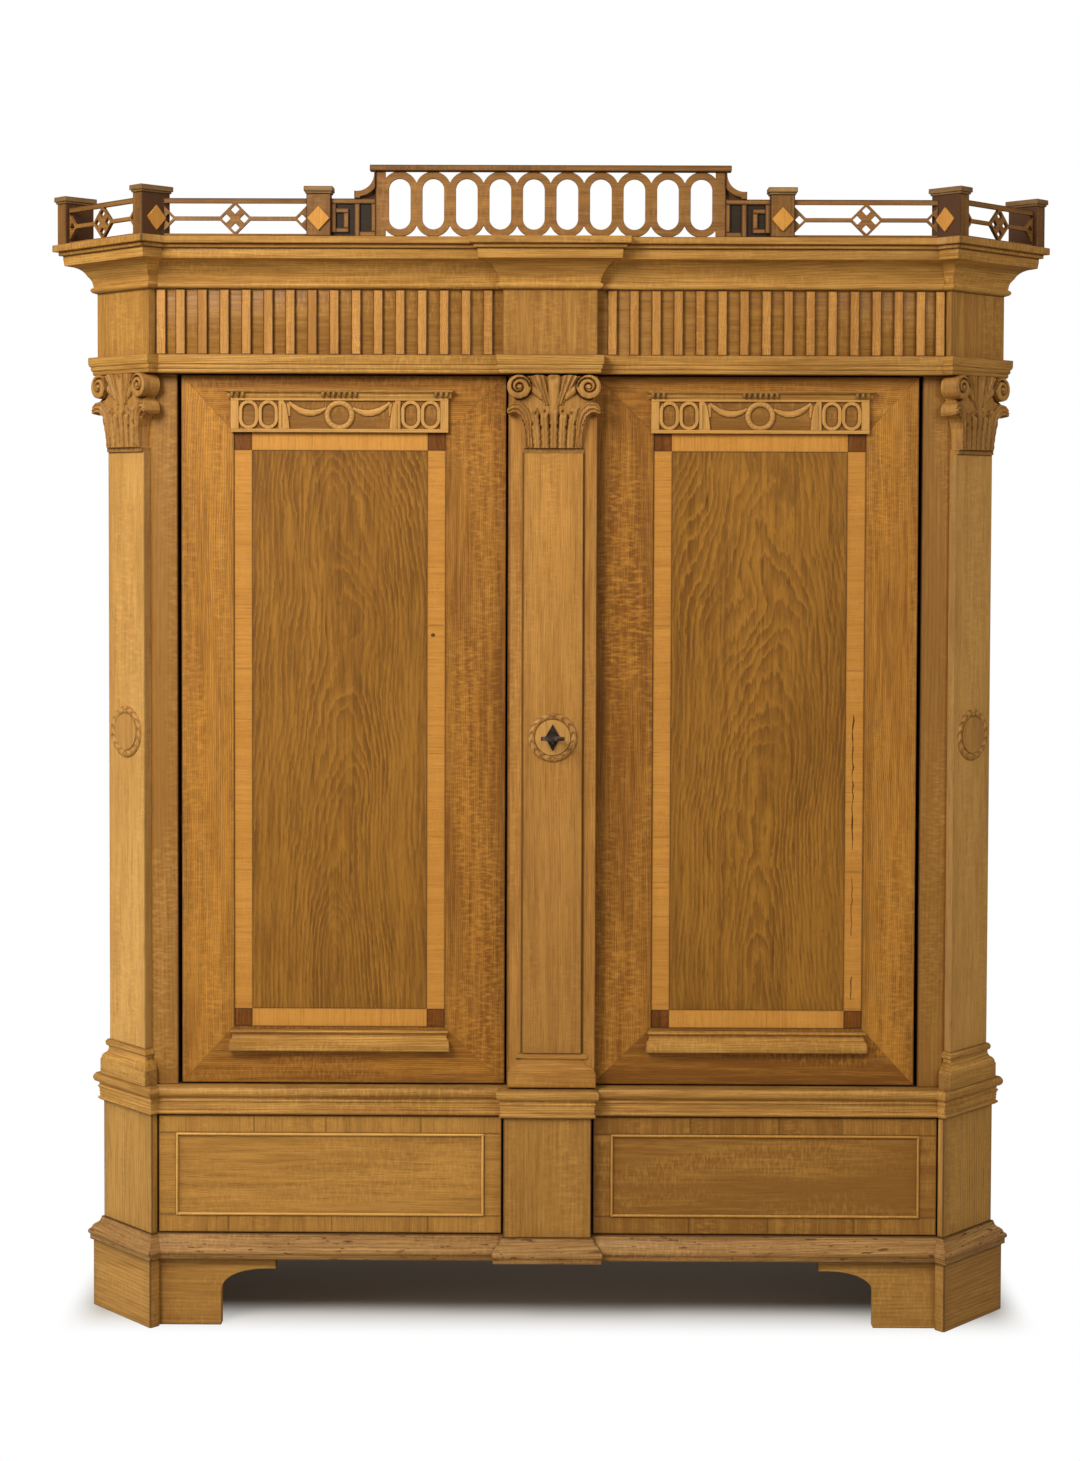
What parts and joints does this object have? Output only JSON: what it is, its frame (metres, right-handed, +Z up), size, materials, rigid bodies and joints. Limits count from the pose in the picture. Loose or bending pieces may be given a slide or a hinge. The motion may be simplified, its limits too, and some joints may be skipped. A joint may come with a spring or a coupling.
{
  "type": "cabinet",
  "caption": "Tall oak wardrobe with canted pilaster corners, hinged doors with banded figured panels, drawers over bracket feet, a striped frieze, a moulded cornice and a fretwork gallery.",
  "frame": {"origin": "on the floor under the middle of the bounding box", "axes": "+Z up, the doors and drawers face -Y, +X to the right of a viewer in front"},
  "size_m": [2.0554, 0.6818, 2.347],
  "materials": {
    "oak": "waxed honey oak with a plain grain",
    "oak_moulding": "waxed, grain along the moulding",
    "oak_light": "waxed lighter cross banding",
    "oak_figured": "waxed, strongly figured grain",
    "oak_carved": "waxed carving, darker in the hollows",
    "oak_dark": "dark stained",
    "inner_wood": "unfinished planed softwood",
    "iron": "dark aged iron",
    "steel": "worn steel"
  },
  "bodies": {
    "carcass": {"feet_blocks": "oak", "front_bracket_feet": "oak", "side_bracket_feet": "oak", "plinth_moulding": "oak_moulding", "base_bottom_board": "inner_wood", "base_blocks": "oak", "base_side_panels": "oak", "base_back_board": "inner_wood", "drawer_runners": "inner_wood", "waist_moulding": "oak_moulding", "cabinet_floor": "inner_wood", "corner_posts": "oak", "corner_pilasters": "oak_light", "pilaster_bases": "oak_moulding", "corner_capitals": "oak_carved", "corner_medallions": "oak_carved", "side_frames": "oak", "side_fields": "oak_figured", "back_boards": "inner_wood", "ceiling_board": "inner_wood", "shelves": "inner_wood", "shelf_battens": "inner_wood", "architrave_moulding": "oak_moulding", "frieze_boards": "oak", "frieze_strips": "oak_light", "cornice_moulding": "oak_moulding", "top_board": "oak", "gallery_posts": "oak", "gallery_post_caps": "oak_dark", "gallery_diamonds": "oak_light", "gallery_frets": "oak_light", "gallery_key_panels": "oak_light", "gallery_key_backings": "oak_dark", "gallery_consoles": "oak", "gallery_oval_fret": "oak_light", "gallery_top_rail": "oak", "door_pivots": "iron"},
    "left_door": {"left_door_frame": "oak", "left_door_banding": "oak_light", "left_door_field": "oak_figured", "left_door_ornaments": "oak_carved", "left_door_irons": "iron", "lock_keeper": "iron"},
    "right_door": {"right_door_frame": "oak", "right_door_banding": "oak_light", "right_door_field": "oak_figured", "right_door_ornaments": "oak_carved", "door_pilaster": "oak_light", "door_capital": "oak_carved", "keyhole_wreath": "oak_carved", "escutcheon": "iron", "lock_case": "iron"},
    "left_drawer": {"left_drawer_front": "oak", "left_drawer_box": "inner_wood"},
    "right_drawer": {"right_drawer_front": "oak", "right_drawer_box": "inner_wood"},
    "key": {"key": "steel"},
    "lock_bolt": {"lock_bolt": "iron"},
    "left_top_bolt": {"left_top_bolt": "iron"},
    "left_bottom_bolt": {"left_bottom_bolt": "iron"}
  },
  "joints": [
    {"name": "left_door_hinge", "type": "hinge", "parent": "carcass", "child": "left_door", "pos_m": [-0.73104, -0.20009, 0.494], "axis": [0, 0, -1], "range_deg": [0, 110]},
    {"name": "right_door_hinge", "type": "hinge", "parent": "carcass", "child": "right_door", "pos_m": [0.73104, -0.20009, 0.494], "axis": [0, 0, 1], "range_deg": [0, 110]},
    {"name": "left_drawer_slide", "type": "slide", "parent": "carcass", "child": "left_drawer", "axis": [0, -1, 0], "range_m": [0, 0.32]},
    {"name": "right_drawer_slide", "type": "slide", "parent": "carcass", "child": "right_drawer", "axis": [0, -1, 0], "range_m": [0, 0.32]},
    {"name": "key_turn", "type": "hinge", "parent": "right_door", "child": "key", "pos_m": [0.008, -0.21509, 1.206], "axis": [0, 1, 0], "range_deg": [0, 360]},
    {"name": "lock_bolt_slide", "type": "slide", "parent": "right_door", "child": "lock_bolt", "axis": [-1, 0, 0], "range_m": [0, 0.016]},
    {"name": "left_top_bolt_slide", "type": "slide", "parent": "left_door", "child": "left_top_bolt", "axis": [0, 0, 1], "range_m": [0, 0.018]},
    {"name": "left_bottom_bolt_slide", "type": "slide", "parent": "left_door", "child": "left_bottom_bolt", "axis": [0, 0, -1], "range_m": [0, 0.018]}
  ],
  "couplings": [
    {"joint": "key_turn", "follows": "lock_bolt_slide", "rad_per_m": 392.7}
  ]
}
